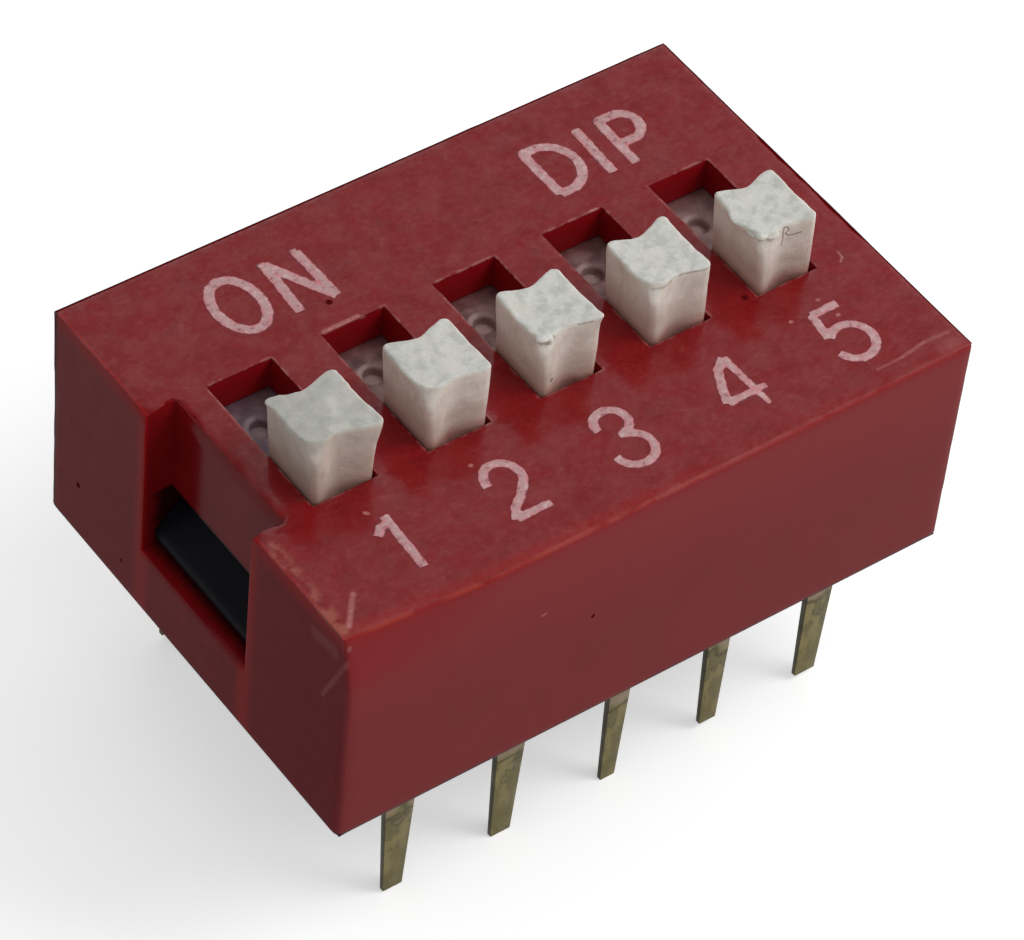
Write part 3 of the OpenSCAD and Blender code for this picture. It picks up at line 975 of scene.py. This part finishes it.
def leg_strip(name, pad_end, root, tip, bent_root, bent_tip, shorter):
    """A terminal of the front row: a pad, a bend, and a leg that narrows to its tip."""
    low, high = node_box("terminal_front_1")
    half_pad = (high.x - low.x) / 2
    bend_y, bend_z = low.y + BEND_RADIUS, PAD_TOP - BEND_RADIUS
    pad_root = bend_y + BEND_RADIUS
    tip_z = LEG_TIP + shorter
    strip = block(name, (-half_pad, pad_root, PAD_TOP - STRIP), (half_pad, pad_end, PAD_TOP))
    with editing(strip, "FACE", lambda mesh, face: face.normal.y < -0.9):
        extrude = bpy.ops.mesh.extrude_region_move
        extrude(TRANSFORM_OT_translate={"value": (0, 0, 0)})
        stretch(root / 2 / half_pad)
        extrude(TRANSFORM_OT_translate={"value": (0, bend_y - pad_root, 0)})
        bpy.ops.mesh.spin(steps=6, angle=-math.pi / 2, center=(0, bend_y, bend_z), axis=(1, 0, 0))
        extrude(TRANSFORM_OT_translate={"value": (0, 0, -bend_z)})
        count = 12
        for k in range(count):
            before, after = (root + (tip - root) * share / count for share in (k, k + 1))
            extrude(TRANSFORM_OT_translate={"value": (0, 0, tip_z / count)})
            stretch(after / before)
    displace(strip, bent_root, lambda point: (PAD_TOP - STRIP - point.z) / 2, "X")
    displace(strip, bent_tip - bent_root, lambda point: point.z / tip_z, "X")

    def coined(side):
        """A share that grows down the front or the back of the leg, which thins to its tip."""
        def share(point):
            outward = side * (point.y - low.y - STRIP / 2)
            return point.z / tip_z if outward > 0 else 0
        return share

    for side in (-1, 1):
        displace(strip, -side * COINED, coined(side), "Y")
    round_edges(strip, 0.02, 2, along_strip)
    return strip


def along_strip(mesh, edge):
    """True for an edge along a corner of the strip's section."""
    first, second = ends(mesh, edge)
    return abs(first.x - second.x) < 0.3 * (first - second).length


def terminals(finish):
    """The two rows of terminals; the back one has the front one's legs in reverse order."""
    front_end, back_end = node_box("terminal_front_1")[1].y, node_box("terminal_back_1")[0].y
    for i, leg in enumerate(LEGS[:POSITIONS], 1):
        strip = leg_strip(f"front_leg_{i}", front_end, *leg)
        shift_mesh(strip, (SWITCH_X[i - 1], 0, 0))
        finish_piece(strip, "root", finish, [f"terminal_front_{i}"])
        strip = leg_strip(f"back_leg_{i}", -back_end, *LEGS[-i])
        with editing(strip):
            stretch(y=-1)
            bpy.ops.mesh.normals_make_consistent(inside=False)
        shift_mesh(strip, (SWITCH_X[i - 1], 0, 0))
        finish_piece(strip, "root", finish, [f"terminal_back_{i}"])


# ---------------- print

def arc(centre, radius, start, end, count=16):
    """Points along an arc of an ellipse, between two angles in degrees."""
    turns = [math.radians(start + (end - start) * k / count) for k in range(count + 1)]
    return [(centre[0] + radius[0] * math.cos(turn), centre[1] + radius[1] * math.sin(turn))
            for turn in turns]


# each sign is a set of strokes in a box one wide and one high; a third number narrows a stroke
SIGNS = {
    "O": [arc((0.5, 0.5), (0.5, 0.5), 90, 450, 40)],
    "N": [[(-0.06, 0), (0.06, 1)], [(0.06, 1), (1, 0)], [(1, 0), (0.96, 1)],
          [(0.06, 1), (-0.1, 1.06, 0.3)], [(0.96, 1), (0.84, 1.06, 0.3)]],
    "D": [[(0, 0), (0, 1)], [(0, 1), (0.3, 1)] + arc((0.3, 0.5), (0.7, 0.5), 90, -90) + [(0, 0)],
          [(0, 1), (-0.1, 1.06, 0.3)]],
    "I": [[(0, 0), (1, 1)]],
    "P": [[(-0.04, 0), (0, 1)],
          [(0, 1), (0.5, 1)] + arc((0.5, 0.72), (0.5, 0.28), 90, -90) + [(0, 0.44)],
          [(0, 1), (-0.1, 1.06, 0.3)]],
    "1": [[(0.8, 0), (1, 1)], [(-0.1, 0.74), (0.35, 0.84), (0.95, 0.88)]],
    "2": [arc((0.51, 0.72), (0.48, 0.3), 185, -30) + [(0.58, 0.35), (0.2, 0.19), (0.02, 0.0)],
          [(0.02, 0.02), (1.06, 0.02, 0.9)]],
    "3": [arc((0.48, 0.79), (0.46, 0.235), 190, -90), [(0.38, 0.555, 0.8), (0.6, 0.555)],
          arc((0.45, 0.27), (0.55, 0.28), 80, -178)],
    "4": [[(0.76, 1), (0.83, -0.03, 0.7)], [(0.76, 1), (0.42, 0.84), (0.18, 0.57), (-0.02, 0.27)],
          [(-0.02, 0.27), (1.1, 0.28, 0.8)]],
    "5": [[(0.95, 1), (0.15, 1)], [(0.15, 1), (0.04, 0.52)],
          arc((0.5, 0.3), (0.57, 0.33), 140, -165)],
}
# the signs: the left, bottom, right and top edge of each, along the middle of its strokes
PRINT = (
    ("O", -4.61, 2.47, -3.68, 3.87), ("N", -3.20, 2.42, -2.42, 3.78),
    ("D", 2.78, 2.42, 3.60, 3.70), ("I", 4.01, 2.38, 4.06, 3.73), ("P", 4.58, 2.36, 5.27, 3.68),
    ("1", -5.20, -4.00, -4.86, -2.62), ("2", -2.87, -3.97, -2.12, -2.65),
    ("3", -0.34, -4.05, 0.40, -2.65), ("4", 2.18, -4.05, 2.98, -2.70),
    ("5", 4.78, -4.05, 5.55, -2.70),
)
LETTER_STROKE = 0.25
FIGURE_STROKE = 0.22
INK_GRAIN = 0.022
INK_RISE = 0.012


def ink_bar(places, width):
    """A round bar along a stroke of a sign; each place has its share of the width."""
    curve = bpy.data.curves.new("bar", "CURVE")
    curve.dimensions = "3D"
    curve.bevel_depth, curve.bevel_resolution, curve.use_fill_caps = width / 2, 3, True
    spline = curve.splines.new("POLY")
    spline.use_cyclic_u = math.dist(places[0][:2], places[-1][:2]) < 1e-4
    if spline.use_cyclic_u:
        places = places[:-1]
    spline.points.add(len(places) - 1)
    for point, (x, y, share) in zip(spline.points, places):
        point.co = (x, y, 0, 1)
        point.radius = share
    only(added("bar", curve))
    bpy.ops.object.convert(target="MESH")
    return bpy.context.object


def print_sign(sign, left, bottom, right, top, finish):
    """One sign, as a thin uneven skin of ink on the cover."""
    width = LETTER_STROKE if sign.isalpha() else FIGURE_STROKE
    bars = []
    for stroke in SIGNS[sign]:
        bars.append(ink_bar([
            (left + u * (right - left), bottom + v * (top - bottom), share[0] if share else 1)
            for u, v, *share in stroke], width))
    for bar in bars:
        bar.select_set(True)
    bpy.ops.object.join()
    piece = bpy.context.object
    run = piece.modifiers.new("run together", "REMESH")
    run.mode, run.voxel_size = "VOXEL", INK_GRAIN
    bpy.ops.object.modifier_apply(modifier=run.name)
    roughen(piece, 0.045, 0.13)
    piece.scale.z = INK_RISE / (width / 2)
    piece.location.z = TOP
    settled(piece, f"print_{sign}")
    finish_piece(piece, "root", finish, sharp=60)


# ---------------- camera, floor and light

def camera():
    """A long lens that looks down on the front left corner, a little tilted."""
    target, distance = Vector((0.143, -0.14, 1.462)) * MM, 97.157 * MM
    azimuth, elevation, roll = (math.radians(angle) for angle in (-40.36, 47.117, 6.3))
    level = math.cos(elevation)
    back = Vector((math.sin(azimuth) * level, -math.cos(azimuth) * level, math.sin(elevation)))
    data = bpy.data.cameras.new("camera")
    data.lens, data.sensor_width = 177.45, 36
    data.clip_start, data.clip_end = 0.001, 10
    eye = added("camera", data)
    eye.location = target + back * distance
    turn = (-back).to_track_quat("-Z", "Y").to_matrix()
    eye.rotation_euler = (turn @ Matrix.Rotation(roll, 3, "Z")).to_euler()
    bpy.context.scene.camera = eye


def seen_directly(nodes):
    """1 for what the camera sees, also in a reflection or through glass."""
    camera_ray, glossy_ray, clear_ray = (
        nodes.add("ShaderNodeLightPath", output=f"Is {ray} Ray")
        for ray in ("Camera", "Glossy", "Transmission"))
    return camera_ray | glossy_ray | clear_ray


def floor():
    """A pale floor under the pins, which looks white and lights the switch only a little."""
    bpy.ops.mesh.primitive_plane_add(size=1.2, location=(0, 0, LEG_TIP * MM))
    plane = bpy.context.object
    plane.name = "floor"
    material = bpy.data.materials.new("pale_floor")
    material.use_nodes = True
    nodes = Nodes(material.node_tree)
    nodes.tree.nodes.clear()
    dull = nodes.add("ShaderNodeBsdfDiffuse", inputs={"Color": (0.35, 0.35, 0.35, 1)})
    pale = nodes.add("ShaderNodeBsdfDiffuse", inputs={"Color": (0.8, 0.8, 0.8, 1)})
    glow = nodes.add("ShaderNodeEmission", inputs={"Strength": 0.45})
    seen = nodes.add("ShaderNodeAddShader", inputs={0: pale, 1: glow})
    choice = nodes.add("ShaderNodeMixShader", inputs={0: seen_directly(nodes), 1: dull, 2: seen})
    nodes.add("ShaderNodeOutputMaterial", inputs={0: choice})
    plane.data.materials.append(material)


def room_light():
    """A pale room, brighter overhead and towards the front right."""
    world = bpy.data.worlds.new("room")
    bpy.context.scene.world = world
    world.use_nodes = True
    nodes = Nodes(world.node_tree)
    nodes.tree.nodes.clear()
    direction = nodes.add("ShaderNodeTexCoord", output="Generated")
    toward = nodes.vector(
        "DOT_PRODUCT", direction, Vector((0.5, -0.35, 0.8)).normalized(), output="Value")
    level = nodes.step(toward, -0.6, 0.8, 0.1, 0.74)
    strength = nodes.add("ShaderNodeMix", inputs={0: seen_directly(nodes), 2: level, 3: 1.0})
    room = nodes.add("ShaderNodeBackground", inputs={"Color": (1, 1, 1, 1), "Strength": strength})
    nodes.add("ShaderNodeOutputWorld", inputs={0: room})


def lamp(name, place, size, power):
    """A round lamp that faces the switch; its place and size are in millimetres."""
    data = bpy.data.lights.new(name, "AREA")
    data.shape, data.size, data.energy = "DISK", size * MM, power
    light = added(name, data)
    light.location = Vector(place) * MM
    light.rotation_euler = (-light.location).to_track_quat("-Z", "Y").to_euler()


# ---------------- the switch

bpy.context.scene.view_settings.view_transform = "Standard"
camera()
floor()
room_light()
lamp("key", (65, -50, 95), 70, 0.06)

cover_shell(red_cover_plastic())
sliders(milky_nylon())
terminals(tarnished_brass())
ink = pale_print()
for sign in PRINT:
    print_sign(*sign, ink)
refinish(black_base_nylon(), "base")
refinish(spring_bronze(), *(f"contact_spring_{i}" for i in range(1, POSITIONS + 1)))
